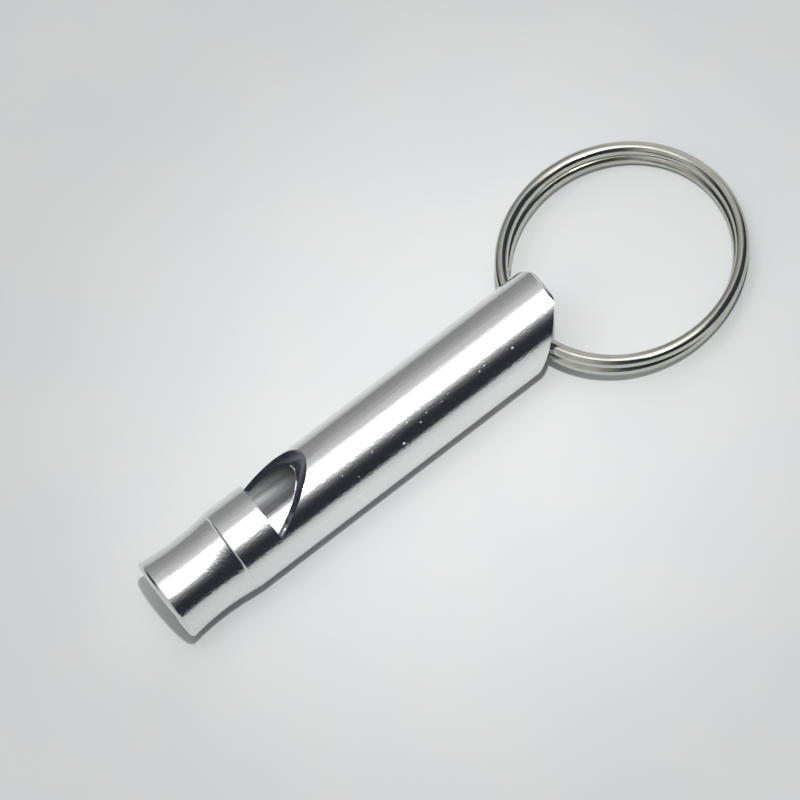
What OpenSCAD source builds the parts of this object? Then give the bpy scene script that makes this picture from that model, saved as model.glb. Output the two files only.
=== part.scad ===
/* [Tube] */
// Outer diameter of the tube
tube_d = 10; // [8:0.5:14]
// Length of the tube
tube_length = 52.95; // [52:0.05:56]
// Thickness of the tube wall
wall = 0.85; // [0.6:0.05:1.1]
// Radius that rounds the lip at the mouth
lip_round = 0.6; // [0.2:0.05:0.65]
// Radius that rounds the rim of the far end
rim_round = 0.45; // [0.2:0.05:0.6]

/* [Mouthpiece] */
// Smallest diameter of the turned waist, as a share of the tube's
waist_share = 0.927; // [0.9:0.005:0.97]
// Distance from the mouth to the lowest point of the waist
waist_mid = 4.7; // [4:0.1:5.5]
// Distance from the mouth to the edge where the waist ends
waist_end = 9.15; // [8.5:0.05:10]

/* [Window] */
// Distance from the mouth to the straight edge of the window
window_start = 14; // [12:0.5:16]
// Distance from the mouth to the far point of the sloping lip
window_end = 21.4; // [20:0.1:24]
// Height of the window's floor line above the tube's axis
window_floor = 1.4; // [1:0.1:2.5]
// Turn of the window about the tube, from straight up towards +Y
window_roll = 18; // [0:1:30]

/* [Slanted end] */
// Distance from the mouth to the shortest side of the slanted cut
slant_start = 46.15; // [45.5:0.05:46.2]
// Angle between the slanted cut and a square cut
slant_angle = 40.5; // [35:0.5:42]
// Turn of the tip about the tube, from straight up towards +Y
slant_roll = 33; // [20:1:45]
// Radius of the tip's rounded corner
tip_round = 1.75; // [1:0.05:2]
// Turn of that corner about the tube, from straight up towards +Y
tip_roll = 62; // [55:1:70]

/* [Plugs] */
// Height of the air gap over the flat of the mouth plug
windway_h = 0.9; // [0.6:0.1:1.4]
// Depth of the mouth plug inside the mouth
plug_recess = 0.4; // [0.2:0.1:1]
// Distance from the mouth to the outer face of the end stopper
stopper_face = 45.4; // [44:0.1:45.4]
// Thickness of the end stopper
stopper_t = 3; // [2:0.5:5]

/* [Ring] */
// Diameter of the ring's wire
wire_d = 1.46; // [1.2:0.02:1.5]
// Outer diameter of the lower coil
lower_od = 27.2; // [26:0.1:27.6]
// Outer diameter of the upper coil, which rests on the lower one's outer side
upper_od = 27.7; // [27:0.1:28]
// Tilt of the lower coil, whose far side lies on the table
lower_tilt = 5.1; // [4:0.1:6]
// Tilt of the upper coil
upper_tilt = 7.2; // [6.5:0.1:7.2]
// Distance from the mouth to the lower coil's centre
ring_centre = 61.52; // [61.2:0.02:61.8]
// Distance of the lower coil's centre to the +Y side of the tube's axis
ring_side = 0.67; // [0.2:0.01:1]
// Shift of the upper coil away from the tube
coil_shift = 0.41; // [0.4:0.01:0.8]
// Shift of the upper coil towards -Y
coil_side = 0.2; // [0:0.01:0.2]
// Height of the upper coil's centre over the lower one's
coil_rise = 1.84; // [1.84:0.02:2]
// Diameter of the hole in the tube that the ring runs through
ring_hole_d = 3.4; // [3:0.1:3.6]

/* [Hidden] */
$fn = 96;

tube_r = tube_d / 2;
bore_r = tube_r - wall;
wire_r = wire_d / 2;
lower_r = lower_od / 2 - wire_r;
upper_r = upper_od / 2 - wire_r;

// The waist is the part of a large circle that dips below the tube's surface.
waist_dip = tube_r * (1 - waist_share);
waist_half = waist_end - waist_mid;
waist_r = (waist_half * waist_half + waist_dip * waist_dip) / (2 * waist_dip);

// The window's lip slopes up from the floor line to the tube's surface.
lip_slope = atan((tube_r - window_floor) / (window_end - window_start));

// The ring's angles start at the side nearest the tube and grow towards +Y.
// One wire leaves its lower end, runs a turn, climbs inside the tube and runs a second turn.
lower_end = 34.5;
climb_from = 340;
climb_to = 371;
upper_end = 708;
ring_step = 4.5;
wire_sides = 12;

// The origin is below the middle of the object, on the table.
ring_reach = coil_shift + upper_r * cos(upper_tilt) + wire_r;
mouth_x = -(ring_centre + ring_reach) / 2;
axis_y = coil_side - ring_side;
axis_z = tube_r;

// Centre of each coil, seen from the middle of the mouth
lower_centre = [ring_centre, ring_side, wire_r + lower_r * sin(lower_tilt) - axis_z];
upper_centre = lower_centre + [coil_shift, -coil_side, coil_rise];

// A point at an angle and radius in a flat coil and at a height over it
function coil_point(centre, tilt, a, r, up) =
    centre + [
        up * sin(tilt) - r * cos(a) * cos(tilt),
        r * sin(a),
        up * cos(tilt) + r * cos(a) * sin(tilt)
    ];

// How far the wire has climbed from the lower coil to the upper one, from 0 to 1
function climbed(a) =
    let (t = min(1, max(0, (a - climb_from) / (climb_to - climb_from))))
    t * t * (3 - 2 * t);

// A point beside the wire's middle line: out from the ring's centre, and up
function ring_point(a, out, up) =
    let (share = climbed(a))
    coil_point(lower_centre, lower_tilt, a, lower_r + out, up) * (1 - share)
        + coil_point(upper_centre, upper_tilt, a, upper_r + out, up) * share;

// The upper coil crosses the tube's wall at this angle, and the hole is drilled there.
hole_angle = asin((tube_r - wall / 2 - upper_centre.y) / upper_r);
hole_at = ring_point(360 + hole_angle, 0, 0);

// Puts a child from the tube's frame, with the mouth at the origin and +X along its axis, in place
module placed() {
    translate([mouth_x, axis_y, axis_z]) children();
}

// Lays a child that stands on Z along the tube's axis
module along_tube() {
    rotate([0, 90, 0]) children();
}

// Turns a child about the tube, from straight up towards +Y
module rolled(angle) {
    rotate([-angle, 0, 0]) children();
}

module tube_outside() {
    difference() {
        union() {
            translate([0, 0, lip_round])
                cylinder(h = tube_length - lip_round - rim_round, r = tube_r);
            cylinder(h = lip_round, r = tube_r - lip_round);
            rotate_extrude() translate([tube_r - lip_round, lip_round]) circle(r = lip_round);
            translate([0, 0, tube_length - rim_round])
                cylinder(h = rim_round, r = tube_r - rim_round);
            rotate_extrude() translate([tube_r - rim_round, tube_length - rim_round])
                circle(r = rim_round);
        }
        rotate_extrude($fn = 192)
            translate([tube_r - waist_dip + waist_r, waist_mid]) circle(r = waist_r);
    }
}

module window_cut() {
    reach = 2 * tube_d;
    rolled(window_roll)
        translate([window_start, 0, window_floor])
            difference() {
                translate([0, -reach / 2, 0]) cube([reach, reach, reach]);
                rotate([0, -lip_slope, 0]) translate([-reach, -reach, -2 * reach])
                    cube([4 * reach, 2 * reach, 2 * reach]);
            }
}

module slant_cut() {
    reach = 3 * tube_d;
    rolled(slant_roll)
        translate([slant_start, 0, -tube_r])
            rotate([0, slant_angle, 0])
                translate([0, -reach / 2, -reach / 2]) cube(reach);
}

// Takes the tip's corner off, outside a round whose axis runs across the tube
module corner_cut() {
    reach = 2 * tube_d;
    rolled(tip_roll)
        translate([tube_length - tip_round, 0, tube_r - tip_round])
            difference() {
                translate([0, -reach / 2, 0]) cube([reach, reach, reach]);
                rotate([90, 0, 0]) cylinder(h = 2 * reach, r = tip_round, center = true);
            }
}

module whistle_tube() {
    color("lightsteelblue")
        placed()
            difference() {
                along_tube() tube_outside();
                along_tube() translate([0, 0, -1]) cylinder(h = tube_length + 2, r = bore_r);
                window_cut();
                slant_cut();
                corner_cut();
                translate(hole_at) rotate([-90, 0, 0])
                    cylinder(h = tube_r, d = ring_hole_d, center = true, $fn = 48);
            }
}

module fipple_plug() {
    color("silver")
        placed()
            difference() {
                translate([plug_recess, 0, 0]) along_tube()
                    cylinder(h = window_start - plug_recess, r = bore_r);
                rolled(window_roll) translate([0, -tube_r, bore_r - windway_h])
                    cube([tube_length, tube_d, tube_r]);
            }
}

module end_stopper() {
    color("silver")
        placed()
            translate([stopper_face - stopper_t, 0, 0]) along_tube()
                cylinder(h = stopper_t, r = bore_r);
}

// The points round the wire at one angle along it
function wire_section(a) = [
    for (k = [0 : wire_sides - 1])
        let (turn = 360 * k / wire_sides)
        ring_point(a, wire_r * cos(turn), wire_r * sin(turn))
];

module split_ring() {
    steps = ceil((upper_end - lower_end) / ring_step);
    angles = [for (i = [0 : steps]) lower_end + (upper_end - lower_end) * i / steps];
    points = [for (a = angles) each wire_section(a)];
    sides = [
        for (i = [0 : steps - 1], k = [0 : wire_sides - 1])
            let (next = (k + 1) % wire_sides, here = i * wire_sides, ahead = here + wire_sides)
            each [
                [here + k, ahead + next, here + next],
                [here + k, ahead + k, ahead + next]
            ]
    ];
    first_cap = [for (k = [0 : wire_sides - 1]) k];
    last_cap = [for (k = [wire_sides - 1 : -1 : 0]) steps * wire_sides + k];
    color("gainsboro")
        placed()
            polyhedron(points = points, faces = concat([first_cap], sides, [last_cap]));
}

whistle_tube();
fipple_plug();
end_stopper();
split_ring();
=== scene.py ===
"""A slim metal training whistle with its split ring, on a pale table under soft light."""

import math
import random

import bmesh
import bpy
from mathutils import Matrix, Vector


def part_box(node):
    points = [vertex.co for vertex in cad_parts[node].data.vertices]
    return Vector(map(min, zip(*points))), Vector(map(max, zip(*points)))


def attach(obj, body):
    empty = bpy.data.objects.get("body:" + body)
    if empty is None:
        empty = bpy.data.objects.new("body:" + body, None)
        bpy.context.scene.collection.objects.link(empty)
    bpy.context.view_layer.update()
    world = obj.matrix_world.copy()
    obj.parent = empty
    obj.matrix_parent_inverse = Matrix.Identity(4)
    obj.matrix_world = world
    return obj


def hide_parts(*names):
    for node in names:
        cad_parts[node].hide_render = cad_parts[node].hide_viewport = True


MM = 0.001

# Frame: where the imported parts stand
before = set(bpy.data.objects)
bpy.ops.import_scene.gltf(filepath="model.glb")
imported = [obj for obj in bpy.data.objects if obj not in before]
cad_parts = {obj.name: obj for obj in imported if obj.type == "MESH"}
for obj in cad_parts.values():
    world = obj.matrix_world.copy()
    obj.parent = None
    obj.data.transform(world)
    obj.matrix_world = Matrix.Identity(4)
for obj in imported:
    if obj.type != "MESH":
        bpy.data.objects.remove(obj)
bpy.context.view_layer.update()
tube_low, tube_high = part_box("whistle_tube")
plug_low, plug_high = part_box("fipple_plug")
stopper_low, stopper_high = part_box("end_stopper")
ring_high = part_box("split_ring")[1]

TUBE_R = (tube_high.z - tube_low.z) / 2 / MM
MOUTH = Vector((tube_low.x, (tube_low.y + tube_high.y) / 2, tube_low.z + TUBE_R * MM))
BORE_R = (MOUTH.z - plug_low.z) / MM
TUBE_LENGTH = (tube_high.x - tube_low.x) / MM

# Tube, in millimetres from the middle of the mouth. A roll turns from straight up towards +Y.
LIP_ROUND = 0.6
LIP_CREST = 0.42  # where the lip's round gives way to the waist
RIM_ROUND = 0.45
WAIST_DIP = 0.365
WAIST_MID = 4.7
WAIST_END = 9.15
GROOVE_W = 0.24  # of the thin groove where the waist ends
GROOVE_DEEP = 0.1
BORE_CHAMFER = 0.12
WINDOW_START = (plug_high.x - tube_low.x) / MM
WINDOW_END = 21.4
WINDOW_FLOOR = 1.4  # height over the axis
WINDOW_SLOPE = (TUBE_R - WINDOW_FLOOR) / (WINDOW_END - WINDOW_START)
WINDOW_ROLL = math.radians(18)
SLANT_START = 46.15
SLANT_ANGLE = math.radians(40.5)
SLANT_ROLL = math.radians(33)
TIP_ROUND = 1.75
TIP_ROLL = math.radians(62)
TUBE_SEGMENTS = 384
CUT_REACH = 30  # how far a cutter goes past the tube

# Plugs
AXIS_R = 0.0001  # as good as none, to close a turned piece on its axis
PLUG_RECESS = (plug_low.x - tube_low.x) / MM
WINDWAY_H = 0.9
PLUG_CHAMFER = 0.15
STOPPER_INNER = (stopper_low.x - tube_low.x) / MM
STOPPER_OUTER = (stopper_high.x - tube_low.x) / MM
STOPPER_CHAMFER = 0.2
DIMPLE_R = 0.5
DIMPLE_DEEP = 0.4
PLUG_SEGMENTS = 192

# Ring. Its angles are in degrees from the side nearest the tube towards +Y.
WIRE_R = 0.73
LOWER_R = 12.87
UPPER_R = 13.12
LOWER_TILT = math.radians(5.1)
UPPER_TILT = math.radians(7.2)
RING_SIDE = 0.67
COIL_SHIFT = 0.41
COIL_SIDE = 0.2
COIL_RISE = 1.84
LOWER_END = 34.5
CLIMB_FROM = 340
CLIMB_TO = 371
UPPER_END = 708
RING_STEP = 1.5
WIRE_SIDES = 32
END_TRIM = 0.14  # off the wire's radius at its two ends
HOLE_R = 1.7
HOLE_SIDES = 64
RING_X = (ring_high.x - tube_low.x) / MM - COIL_SHIFT - UPPER_R * math.cos(UPPER_TILT) - WIRE_R
LOWER_CENTRE = Vector((RING_X, RING_SIDE, WIRE_R + LOWER_R * math.sin(LOWER_TILT) - TUBE_R))
UPPER_CENTRE = LOWER_CENTRE + Vector((COIL_SHIFT, -COIL_SIDE, COIL_RISE))


# ---------------------------------------------------------------- mesh tools


def in_place(point):
    """A point in millimetres from the mouth, in the frame's metres."""
    return MOUTH + Vector(point) * MM


def around(x, radius, angle):
    """A point at a distance along the tube and an angle from straight up towards +Y."""
    return Vector((x, radius * math.sin(angle), radius * math.cos(angle)))


def turns(sides):
    """Angles spread evenly round a circle."""
    return [2 * math.pi * k / sides for k in range(sides)]


def bridge(bm, here, ahead):
    """The faces between two closed rows of points."""
    count = len(here)
    pairs = [(k, (k + 1) % count) for k in range(count)]
    return [bm.faces.new((here[k], here[n], ahead[n], ahead[k])) for k, n in pairs]


def make_object(name, bm, *materials):
    """An object from a bmesh, with its faces turned outwards and a slot for each material."""
    mesh = bpy.data.meshes.new(name)
    bmesh.ops.recalc_face_normals(bm, faces=bm.faces)
    bm.to_mesh(mesh)
    bm.free()
    for material in materials:
        mesh.materials.append(material)
    obj = bpy.data.objects.new(name, mesh)
    bpy.context.scene.collection.objects.link(obj)
    return obj


def revolve(name, profile, segments, *materials, slots=()):
    """A solid turned about the tube's axis from a closed outline of (x, radius).

    Slots gives the material slot of each side of the outline.
    """
    bm = bmesh.new()
    rings = []
    for angle in turns(segments):
        rings.append([bm.verts.new(in_place(around(x, r, angle))) for x, r in profile])
    for k in range(segments):
        faces = bridge(bm, rings[k], rings[(k + 1) % segments])
        for face, slot in zip(faces, slots):
            face.material_index = slot
    return make_object(name, bm, *materials)


def sweep(name, sections, material):
    """A skin over a row of cross sections with equally many points, closed at both ends."""
    bm = bmesh.new()
    rows = [[bm.verts.new(in_place(p)) for p in section] for section in sections]
    for here, ahead in zip(rows, rows[1:]):
        bridge(bm, here, ahead)
    bm.faces.new(rows[0])
    bm.faces.new(rows[-1])
    return make_object(name, bm, material)


def smooth(obj, angle=28):
    """Smooth shading, apart from edges sharper than an angle in degrees."""
    for polygon in obj.data.polygons:
        polygon.use_smooth = True
    obj.data.set_sharp_from_angle(angle=math.radians(angle))


def cut(obj, cutter):
    """Takes the cutter out of the object and drops the cutter."""
    modifier = obj.modifiers.new("cut", "BOOLEAN")
    modifier.operation = "DIFFERENCE"
    modifier.solver = "EXACT"
    modifier.material_mode = "TRANSFER"
    modifier.object = cutter
    depsgraph = bpy.context.evaluated_depsgraph_get()
    mesh = bpy.data.meshes.new_from_object(obj.evaluated_get(depsgraph))
    obj.modifiers.clear()
    old = obj.data
    name = old.name
    obj.data = mesh
    bpy.data.meshes.remove(old)
    mesh.name = name
    bpy.data.objects.remove(cutter)


def prism(name, outline, half_width, roll, material):
    """A straight-sided block whose outline lies in the plane of the tube's axis, turned by roll."""
    bm = bmesh.new()
    turn = Matrix.Rotation(-roll, 3, "X")
    near = [bm.verts.new(in_place(turn @ Vector((x, -half_width, h)))) for x, h in outline]
    far = [bm.verts.new(in_place(turn @ Vector((x, half_width, h)))) for x, h in outline]
    bm.faces.new(near)
    bm.faces.new(far)
    bridge(bm, near, far)
    return make_object(name, bm, material)


# ---------------------------------------------------------------- materials


class Nodes:
    """A node tree. Each call adds a node and sets or links its inputs by name."""

    def __init__(self, tree):
        self.tree = tree

    def wire(self, socket, value):
        if isinstance(value, bpy.types.NodeSocket):
            self.tree.links.new(value, socket)
        else:
            socket.default_value = value

    def add(self, kind, inputs, **settings):
        node = self.tree.nodes.new(kind)
        for key, value in settings.items():
            setattr(node, key, value)
        for key, value in inputs.items():
            self.wire(node.inputs[key], value)
        return node.outputs[0]

    def coords(self, kind):
        return self.tree.nodes.new("ShaderNodeTexCoord").outputs[kind]

    def math(self, operation, a, b=0.0):
        return self.add("ShaderNodeMath", {0: a, 1: b}, operation=operation)

    def ranged(self, value, low, high, to_low, to_high, interpolation="LINEAR"):
        return self.add(
            "ShaderNodeMapRange",
            {
                "Value": value,
                "From Min": low,
                "From Max": high,
                "To Min": to_low,
                "To Max": to_high,
            },
            interpolation_type=interpolation,
        )

    def length(self, vector):
        """The vector's length, which isn't its node's first output."""
        node = self.tree.nodes.new("ShaderNodeVectorMath")
        node.operation = "LENGTH"
        self.wire(node.inputs[0], vector)
        return node.outputs["Value"]

    def mix(self, factor, a, b):
        """Two colours mixed. The node's colour sockets are inputs 6 and 7 and output 2."""
        node = self.tree.nodes.new("ShaderNodeMix")
        node.data_type = "RGBA"
        self.wire(node.inputs[0], factor)
        self.wire(node.inputs[6], (*a, 1) if isinstance(a, tuple) else a)
        self.wire(node.inputs[7], (*b, 1) if isinstance(b, tuple) else b)
        return node.outputs[2]

    def ramp(self, value, stops):
        """Colours blended between stops of (value from 0 to 1, colour)."""
        node = self.tree.nodes.new("ShaderNodeValToRGB")
        self.wire(node.inputs[0], value)
        elements = node.color_ramp.elements
        for at, colour in stops[1:-1]:
            elements.new(at)
        for element, (at, colour) in zip(elements, stops):
            element.position = at
            element.color = (*colour, 1)
        return node.outputs[0]

    def by_degrees(self, value, stops):
        """Colours blended between stops of (degrees from -180 to 180, colour)."""
        turn = self.ranged(value, -180, 180, 0, 1)
        return self.ramp(turn, [((degrees + 180) / 360, colour) for degrees, colour in stops])


class Shader(Nodes):
    """One material, whose lengths are in millimetres."""

    def __init__(self, name):
        self.material = bpy.data.materials.new(name)
        self.material.use_nodes = True
        super().__init__(self.material.node_tree)
        self.bsdf = self.tree.nodes["Principled BSDF"]

    def surface(self, **inputs):
        for key, value in inputs.items():
            self.wire(self.bsdf.inputs[key.replace("_", " ")], value)

    def place(self, scale=(1, 1, 1)):
        """The point on the surface, stretched by scale."""
        return self.add(
            "ShaderNodeMapping",
            {"Vector": self.coords("Object"), "Scale": [s / MM for s in scale]},
        )

    def noise(self, vector, scale, detail=2.0, roughness=0.5):
        return self.add(
            "ShaderNodeTexNoise",
            {"Vector": vector, "Scale": scale, "Detail": detail, "Roughness": roughness},
        )

    def spread(self, noise, low, high, reach=0.2):
        """A value from low to high, as a noise goes from reach below its middle to reach above."""
        return self.ranged(noise, 0.5 - reach, 0.5 + reach, low, high)

    def tones(self, noise, dark, light, reach=0.2):
        """A colour that follows a noise in the same way."""
        return self.mix(self.spread(noise, 0, 1, reach), dark, light)

    def bump(self, height, depth_mm, under=None):
        """A normal for a relief of that depth, on top of the one under it."""
        inputs = {"Height": height, "Distance": depth_mm * MM, "Strength": 1.0}
        if under is not None:
            inputs["Normal"] = under
        return self.add("ShaderNodeBump", inputs)


def tube_metal():
    """Polished drawn aluminium: a fine grain and lengthwise draw lines."""
    s = Shader("tube_metal")
    grain = s.noise(s.place((0.8, 1, 1)), scale=5, detail=1, roughness=0.6)
    lines = s.noise(s.place((0.03, 1, 1)), scale=4, detail=3, roughness=0.65)
    waves = s.noise(s.place((0.1, 1, 1)), scale=0.7, detail=1)
    normal = s.bump(grain, 0.013)
    normal = s.bump(lines, 0.004, normal)
    normal = s.bump(waves, 0.006, normal)
    s.surface(
        Base_Color=s.tones(lines, (0.75, 0.765, 0.76), (0.82, 0.825, 0.815)),
        Metallic=1.0,
        Roughness=s.spread(grain, 0.1, 0.19),
        Normal=normal,
    )
    return s.material


def cut_metal():
    """Milled faces: fine straight cutter marks, with a dark bluish colour that is painted shade."""
    s = Shader("cut_metal")
    marks = s.noise(s.place((1, 0.08, 0.08)), scale=7, detail=2, roughness=0.6)
    s.surface(
        # Painted shade: the cut faces are coloured dark and bluish, far darker than the tube's own
        # metal.
        Base_Color=s.tones(marks, (0.34, 0.37, 0.42), (0.46, 0.48, 0.52)),
        Metallic=1.0,
        Roughness=s.spread(marks, 0.14, 0.22),
        Normal=s.bump(marks, 0.002),
    )
    return s.material


def burr_metal():
    """Torn bright metal left by the cutter."""
    s = Shader("burr_metal")
    torn = s.noise(s.place(), scale=6, detail=3, roughness=0.7)
    s.surface(
        Base_Color=s.tones(torn, (0.80, 0.82, 0.84), (0.94, 0.95, 0.96), reach=0.15),
        Metallic=1.0,
        Roughness=s.spread(torn, 0.35, 0.5),
        Normal=s.bump(torn, 0.02),
    )
    return s.material


def bore_metal():
    """The drawn bore: a soft shine with faint lengthwise lines."""
    s = Shader("bore_metal")
    lines = s.noise(s.place((0.04, 1, 1)), scale=1.6, detail=3, roughness=0.55)
    s.surface(
        Base_Color=s.tones(lines, (0.71, 0.735, 0.735), (0.84, 0.855, 0.85)),
        Metallic=1.0,
        Roughness=s.spread(lines, 0.2, 0.28),
        Normal=s.bump(lines, 0.003),
    )
    return s.material


def plug_metal():
    """Turned aluminium: fine rings round the axis on the faces."""
    s = Shader("plug_metal")
    offset = s.add("ShaderNodeVectorMath", {0: s.coords("Object"), 1: MOUTH}, operation="SUBTRACT")
    across = s.add("ShaderNodeVectorMath", {0: offset, 1: (0, 1, 1)}, operation="MULTIPLY")
    out = s.math("DIVIDE", s.length(across), MM)
    along = s.math("DIVIDE", s.add("ShaderNodeSeparateXYZ", {0: offset}), MM)
    at = s.add("ShaderNodeCombineXYZ", {"X": out, "Y": along})
    rings = s.noise(at, scale=9, detail=2, roughness=0.6)
    s.surface(
        Base_Color=s.tones(rings, (0.55, 0.56, 0.59), (0.70, 0.71, 0.73)),
        Metallic=1.0,
        Roughness=s.spread(rings, 0.25, 0.4),
        Normal=s.bump(rings, 0.006),
    )
    return s.material


def ring_nickel():
    """Nickel plate on spring wire: warm and bright, with a fine grain and duller worn patches."""
    s = Shader("ring_nickel")
    grain = s.noise(s.place(), scale=4, detail=3, roughness=0.6)
    wear = s.ranged(s.noise(s.place(), scale=0.3), 0.45, 0.62, 0, 1, "SMOOTHSTEP")
    s.surface(
        Base_Color=s.mix(wear, (0.56, 0.56, 0.505), (0.51, 0.505, 0.43)),
        Metallic=1.0,
        Roughness=s.ranged(wear, 0, 1, 0.1, 0.2),
        Normal=s.bump(grain, 0.006),
    )
    return s.material


def floor_paper():
    """Pale matt paper with a very slight mottle, and a painted pool of light: a little brighter
    round the whistle and darker further out.
    """
    s = Shader("floor_paper")
    mottle = s.noise(s.place(), scale=0.06)
    paper = s.tones(mottle, (0.70, 0.73, 0.735), (0.73, 0.75, 0.735), reach=0.15)
    # Painted light: the paper's colour darkens from 10 to 60 mm out, a pool of light painted round
    # the whistle.
    near, far, darkest = 10, 60, 0.23
    painted_falloff = s.ranged(s.length(s.place()), near, far, 0, darkest, "SMOOTHSTEP")
    s.surface(Base_Color=s.mix(painted_falloff, paper, (0, 0, 0)), Roughness=0.75)
    return s.material


# ---------------------------------------------------------------- tube


def tube_outline():
    """The tube's outside from the mouth to the far end, as (x, radius)."""
    waist_r = ((WAIST_END - WAIST_MID) ** 2 + WAIST_DIP**2) / (2 * WAIST_DIP)

    def waist(x):
        return TUBE_R - WAIST_DIP + waist_r - math.sqrt(waist_r**2 - (x - WAIST_MID) ** 2)

    points = []
    lip_steps = 12
    last = math.acos((LIP_ROUND - LIP_CREST) / LIP_ROUND)
    for i in range(lip_steps + 1):
        a = last * i / lip_steps
        x = LIP_ROUND - LIP_ROUND * math.cos(a)
        points.append((x, TUBE_R - LIP_ROUND + LIP_ROUND * math.sin(a)))
    waist_steps = 36
    gap = 0.04
    from_x, to_x = LIP_CREST + gap, WAIST_END - GROOVE_W
    for i in range(waist_steps + 1):
        x = from_x + (to_x - from_x) * i / waist_steps
        points.append((x, waist(x)))
    points.append((WAIST_END - GROOVE_W / 2, TUBE_R - GROOVE_DEEP))
    points.append((WAIST_END, TUBE_R))
    # Points along the plain stretch keep its faces short.
    for x in (WAIST_END + 0.15, WAIST_END + 1.5, 12.5, 24, 32, 40, 45.5):
        points.append((x, TUBE_R))
    rim_steps = 16
    for i in range(rim_steps + 1):
        a = math.pi / 2 * i / rim_steps
        x = TUBE_LENGTH - RIM_ROUND + RIM_ROUND * math.sin(a)
        points.append((x, TUBE_R - RIM_ROUND + RIM_ROUND * math.cos(a)))
    return points


def window_outline():
    """What lies over the window's floor line and its sloping lip, as (x, height over the axis)."""
    top = WINDOW_FLOOR + WINDOW_SLOPE * CUT_REACH
    return [(WINDOW_START, WINDOW_FLOOR), (WINDOW_START + CUT_REACH, top), (WINDOW_START, top)]


def slant_outline():
    """What lies past the slanted end."""
    lean = math.tan(SLANT_ANGLE) * CUT_REACH
    low, high, beyond = -TUBE_R - CUT_REACH, -TUBE_R + CUT_REACH, SLANT_START + 3 * CUT_REACH
    return [(SLANT_START - lean, low), (SLANT_START + lean, high), (beyond, high), (beyond, low)]


def corner_outline():
    """What lies outside the tip's round corner."""
    steps = 16
    from_x, from_h = TUBE_LENGTH - TIP_ROUND, TUBE_R - TIP_ROUND
    arc = [math.pi / 2 * i / steps for i in range(steps + 1)]
    outline = [(from_x + TIP_ROUND * math.sin(a), from_h + TIP_ROUND * math.cos(a)) for a in arc]
    beyond, over = TUBE_LENGTH + 1, TUBE_R + 1
    return outline + [(beyond, from_h), (beyond, over), (from_x, over)]


def hole_sections():
    """The two ends of a round bar through the wall, where the ring passes."""
    at = hole_centre()
    return [
        [at + Vector((HOLE_R * math.cos(a), y, HOLE_R * math.sin(a))) for a in turns(HOLE_SIDES)]
        for y in (-TUBE_R / 2, TUBE_R / 2)
    ]


def make_tube():
    """The turned tube, with its bore, window, slanted end, rounded tip and the ring's hole."""
    metal, milled, drilled = tube_metal(), cut_metal(), bore_metal()
    outside = tube_outline()
    end_x, middle_x = outside[-1][0], 30
    inside = [
        (end_x, BORE_R),
        (middle_x, BORE_R),
        (BORE_CHAMFER, BORE_R),
        (0, BORE_R + BORE_CHAMFER),
    ]
    # The outside and the flat lip take the first material, and the bore takes the third.
    outer, inner = 0, 2
    slots = [outer] * len(outside) + [inner] * (len(inside) - 1) + [outer]
    tube = revolve("tube", outside + inside, TUBE_SEGMENTS, metal, milled, drilled, slots=slots)
    for name, outline, roll, material in (
        ("window_cutter", window_outline(), WINDOW_ROLL, milled),
        ("slant_cutter", slant_outline(), SLANT_ROLL, milled),
        ("corner_cutter", corner_outline(), TIP_ROLL, metal),
    ):
        cut(tube, prism(name, outline, CUT_REACH / 2, roll, material))
    cut(tube, sweep("hole_cutter", hole_sections(), milled))
    smooth(tube)
    return tube


def strip(name, points, radius, material, seed):
    """An uneven burr along a line of points, which shrinks to almost nothing where it is weak."""
    rng = random.Random(seed)
    sides, drift, weak, almost_nothing = 6, 0.5, 0.6, 0.1
    sections = []
    level = 0.5
    for i, p in enumerate(points):
        along = (points[min(i + 1, len(points) - 1)] - points[max(i - 1, 0)]).normalized()
        out = Vector((0, p.y, p.z)).normalized()
        side = along.cross(out).normalized()
        up = side.cross(along)
        level = min(1, max(0, level + rng.uniform(-drift, drift)))
        r = radius * (level if level > weak else almost_nothing)
        sections.append(
            [p + side * (r * math.cos(a)) + up * (r * math.sin(a)) for a in turns(sides)]
        )
    burr = sweep(name, sections, material)
    smooth(burr, angle=80)
    return burr


def lip_line(radius, steps, start, end):
    """The sloping lip's edge at a radius, from start to end.

    Its -Y corner is at -1 and its +Y corner at 1.
    """
    widest = math.acos(WINDOW_FLOOR / radius)
    line = []
    for i in range(steps + 1):
        a = widest * (start + (end - start) * i / steps)
        x = WINDOW_START + (radius * math.cos(a) - WINDOW_FLOOR) / WINDOW_SLOPE
        line.append(around(x, radius, a + WINDOW_ROLL))
    return line


def add_chip(bm, x, angle, radius, stretch):
    """A low blunt crumb on the tube's surface, stretched along it and sunk a little into it."""
    sides, sink, crown_share, rise = 8, 0.02, 0.6, 0.3

    def row(share, height):
        reach = radius * share
        return [
            bm.verts.new(in_place(around(
                x + reach * stretch * math.cos(a),
                TUBE_R + height,
                angle + reach * math.sin(a) / TUBE_R,
            )))
            for a in turns(sides)
        ]

    rim = row(1, -sink)
    crown = row(crown_share, radius * rise)
    bm.faces.new(rim)
    bm.faces.new(crown)
    bridge(bm, rim, crown)


def make_chips(material, seed):
    """Tiny bright chips, most of them in a row along the tube's -Y side and none on its top."""
    rng = random.Random(seed)
    bm = bmesh.new()
    first_x, last_x = WINDOW_END + 1.5, SLANT_START
    # In degrees from straight up towards +Y: the bare top, and rows as (angle, spread, count)
    bare_top = 8
    for row_angle, spread, count in ((-37, 3.5, 12), (-28, 20, 6)):
        for _ in range(count):
            x = rng.uniform(first_x, last_x)
            angle = rng.gauss(row_angle, spread)
            radius = rng.uniform(0.04, 0.13)
            stretch = rng.uniform(1, 1.8)
            if abs(angle) >= bare_top:
                add_chip(bm, x, math.radians(angle), radius, stretch)
    chips = make_object("tube_chips", bm, material)
    smooth(chips, angle=80)
    return chips


# ---------------------------------------------------------------- plugs


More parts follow.
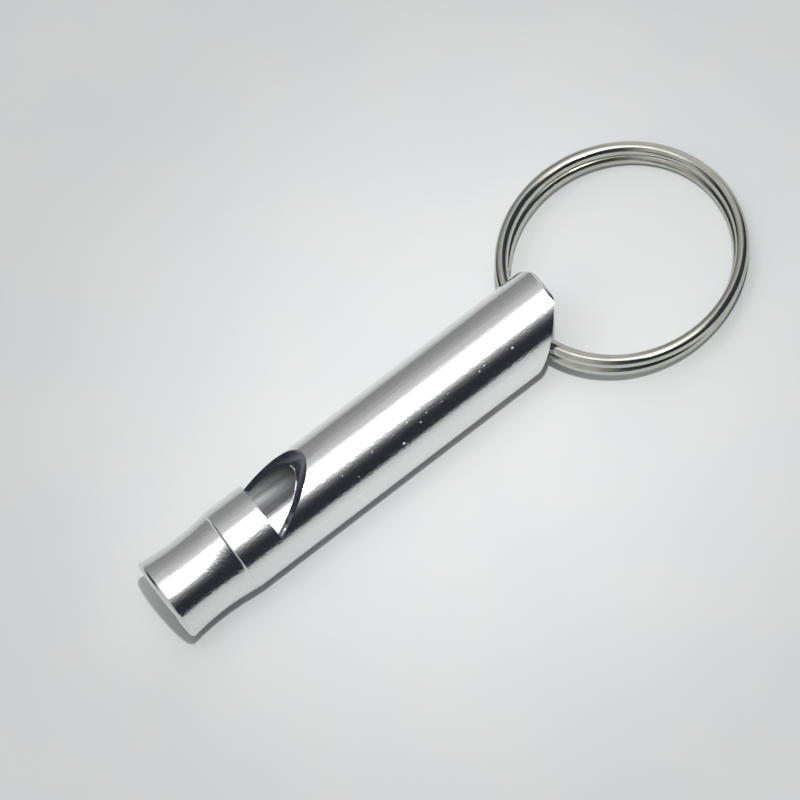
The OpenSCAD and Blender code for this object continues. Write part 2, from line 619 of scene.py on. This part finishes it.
def make_plug():
    """The block in the mouth end, with the flat that leaves the windway."""
    outline = [
        (PLUG_RECESS, AXIS_R),
        (PLUG_RECESS, BORE_R - PLUG_CHAMFER),
        (PLUG_RECESS + PLUG_CHAMFER, BORE_R),
        (WINDOW_START, BORE_R),
        (WINDOW_START, AXIS_R),
    ]
    plug = revolve("plug", outline, PLUG_SEGMENTS, plug_metal())
    flat = BORE_R - WINDWAY_H
    before, beyond, clear = -1, 20, 9
    block = [(before, flat), (beyond, flat), (beyond, clear), (before, clear)]
    cut(plug, prism("flat_cutter", block, clear, WINDOW_ROLL, plug.data.materials[0]))
    smooth(plug)
    return plug


def make_stopper(material):
    """The disc that closes the sound chamber, with a lathe's dimple in its outer face."""
    outline = [
        (STOPPER_INNER, AXIS_R),
        (STOPPER_INNER, BORE_R - STOPPER_CHAMFER),
        (STOPPER_INNER + STOPPER_CHAMFER, BORE_R),
        (STOPPER_OUTER - STOPPER_CHAMFER, BORE_R),
        (STOPPER_OUTER, BORE_R - STOPPER_CHAMFER),
        (STOPPER_OUTER, DIMPLE_R),
        (STOPPER_OUTER - DIMPLE_DEEP, AXIS_R),
    ]
    stopper = revolve("stopper", outline, PLUG_SEGMENTS, material)
    smooth(stopper)
    return stopper


# ---------------------------------------------------------------- ring


def coil_point(centre, tilt, angle, radius, up):
    """A point at an angle and radius in a flat coil and at a height over it."""
    return centre + Vector((
        up * math.sin(tilt) - radius * math.cos(angle) * math.cos(tilt),
        radius * math.sin(angle),
        up * math.cos(tilt) + radius * math.cos(angle) * math.sin(tilt),
    ))


def ring_point(degrees, out, up):
    """A point beside the wire's middle line, which climbs from the lower coil to the upper one."""
    t = min(1, max(0, (degrees - CLIMB_FROM) / (CLIMB_TO - CLIMB_FROM)))
    share = t * t * (3 - 2 * t)
    angle = math.radians(degrees)
    lower = coil_point(LOWER_CENTRE, LOWER_TILT, angle, LOWER_R + out, up)
    upper = coil_point(UPPER_CENTRE, UPPER_TILT, angle, UPPER_R + out, up)
    return lower.lerp(upper, share)


def hole_centre():
    """The middle of the ring's hole, on the wire's line where the upper coil crosses the wall."""
    wall_middle = (TUBE_R + BORE_R) / 2
    angle = math.asin((wall_middle - UPPER_CENTRE.y) / UPPER_R)
    return ring_point(360 + math.degrees(angle), 0, 0)


def make_ring():
    """One wire wound into two coils."""
    steps = round((UPPER_END - LOWER_END) / RING_STEP)
    sections = []
    for i in range(steps + 1):
        degrees = LOWER_END + (UPPER_END - LOWER_END) * i / steps
        r = WIRE_R - END_TRIM if i in (0, steps) else WIRE_R
        sections.append(
            [ring_point(degrees, r * math.cos(a), r * math.sin(a)) for a in turns(WIRE_SIDES)]
        )
    ring = sweep("ring", sections, ring_nickel())
    smooth(ring, angle=40)
    return ring


# ---------------------------------------------------------------- studio


def look_along(direction, roll_axis, roll):
    """The rotation of a camera that stands towards direction and shows roll_axis at that roll."""
    back = direction.normalized()
    along = (roll_axis - roll_axis.dot(back) * back).normalized()
    side = back.cross(along)
    right = math.cos(roll) * along - math.sin(roll) * side
    up = back.cross(right)
    return Matrix((right, up, back)).transposed()


def make_camera():
    """A long lens that looks down on the whistle, which lies askew across the picture."""
    tilt, turn, roll = math.radians(28), math.radians(2.5), math.radians(37.4)
    distance = 1.2
    view_width = 86 * MM
    aim = in_place((33.3, 1.61, 0.86))
    level = math.cos(turn)
    view_from = Vector((-math.sin(turn), -math.sin(tilt) * level, math.cos(tilt) * level))
    data = bpy.data.cameras.new("camera")
    data.sensor_width = 36
    data.lens = data.sensor_width * distance / view_width
    data.clip_start = 0.05
    data.clip_end = 10
    cam = bpy.data.objects.new("camera", data)
    bpy.context.scene.collection.objects.link(cam)
    place = Matrix.Translation(aim + view_from * distance)
    cam.matrix_world = place @ look_along(view_from, Vector((1, 0, 0)), roll).to_4x4()
    bpy.context.scene.camera = cam


def make_floor():
    """A wide sheet of paper under the whistle."""
    half_width = 2
    bm = bmesh.new()
    bmesh.ops.create_grid(bm, x_segments=1, y_segments=1, size=half_width)
    floor = make_object("floor", bm, floor_paper())


def grey(level, blue=0.0):
    """A grey of that brightness, tinted towards blue."""
    return (level * (1 - blue / 2), level, level * (1 + blue))


def make_world():
    """The room that the metal mirrors: a bright ceiling, a grey wall behind and darker sides."""
    world = bpy.data.worlds.new("studio")
    bpy.context.scene.world = world
    world.use_nodes = True
    n = Nodes(world.node_tree)
    split = n.tree.nodes.new("ShaderNodeSeparateXYZ")
    n.wire(split.inputs[0], n.coords("Generated"))
    # The direction looked in
    x, y, z = (split.outputs[k] for k in "XYZ")
    # Round the tube's axis, in degrees from straight up towards +Y. The ceiling narrows towards -X.
    round_axis = n.math("MULTIPLY", n.math("ARCTAN2", y, z), 180 / math.pi)
    narrowed = n.ranged(x, -0.5, -0.03, 45, 0)
    front = n.math("SUBTRACT", round_axis, narrowed)
    ceiling = 1.75
    front_stops = [
        (-180, grey(0.026, 0.3)),
        (-58, grey(0.026, 0.3)),
        (-50, grey(0.06, 0.2)),
        (-43, grey(0.15)),
        (-36, grey(0.38)),
        (-30, grey(0.8)),
        (-24, grey(ceiling)),
        (180, grey(ceiling)),
    ]
    back_stops = [
        (-180, grey(ceiling)),
        (14, grey(ceiling)),
        (18, grey(0.72)),
        (34, grey(0.6)),
        (46, grey(0.44)),
        (62, grey(0.33)),
        (84, grey(0.28)),
        (180, grey(0.32)),
    ]
    behind = n.math("GREATER_THAN", round_axis, 0.0)
    front_tone = n.by_degrees(front, front_stops)
    across = n.mix(behind, front_tone, n.by_degrees(round_axis, back_stops))
    # Round the vertical, in degrees from +Y towards +X
    compass = n.math("MULTIPLY", n.math("ARCTAN2", x, y), 180 / math.pi)
    side_stops = [
        (-180, grey(0.05, 0.3)),
        (-140, grey(0.08, 0.2)),
        (-115, grey(0.6)),
        (-80, grey(0.6)),
        (-60, grey(0.05, 0.2)),
        (-30, grey(0.05, 0.2)),
        (-10, grey(0.4)),
        (20, grey(0.7)),
        (55, grey(0.7)),
        (80, grey(0.06, 0.2)),
        (180, grey(0.05, 0.3)),
    ]
    sideways = n.ranged(n.math("ABSOLUTE", x), 0.3, 0.46, 0, 1, "SMOOTHSTEP")
    room = n.mix(sideways, across, n.by_degrees(compass, side_stops))
    n.wire(n.tree.nodes["Background"].inputs["Color"], room)


def make_key():
    """A small bright lamp, high on the camera's side, that draws the crisp shadow."""
    data = bpy.data.lights.new("key", "AREA")
    data.shape = "DISK"
    data.size = 0.05
    data.energy = 10
    key = bpy.data.objects.new("key", data)
    bpy.context.scene.collection.objects.link(key)
    lean_x, lean_y, distance = math.radians(6), math.radians(17), 1.3
    direction = Vector((math.tan(lean_x), -math.tan(lean_y), 1)).normalized()
    key.location = direction * distance
    key.rotation_euler = direction.to_track_quat("Z", "Y").to_euler()


make_camera()
make_world()
make_key()
make_floor()

tube = make_tube()
plug = make_plug()
stopper = make_stopper(plug.data.materials[0])
ring = make_ring()
torn = burr_metal()
lip_inside = lip_line(BORE_R, steps=60, start=-0.97, end=0.12)
lip_corner = lip_line(TUBE_R - 0.3, steps=8, start=-0.985, end=-0.88)
details = [
    strip("lip_burr", lip_inside, radius=0.09, material=torn, seed=3),
    strip("corner_burr", lip_corner, radius=0.13, material=torn, seed=5),
    make_chips(torn, seed=11),
]
for piece, node, slot in (
    (tube, "whistle_tube", "tube_metal"),
    (plug, "fipple_plug", "plug_metal"),
    (stopper, "end_stopper", "plug_metal"),
):
    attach(piece, "whistle")
    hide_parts(node)
for detail in details:
    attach(detail, "whistle")
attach(ring, "ring")
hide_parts("split_ring")

bpy.context.scene.view_settings.view_transform = "Standard"
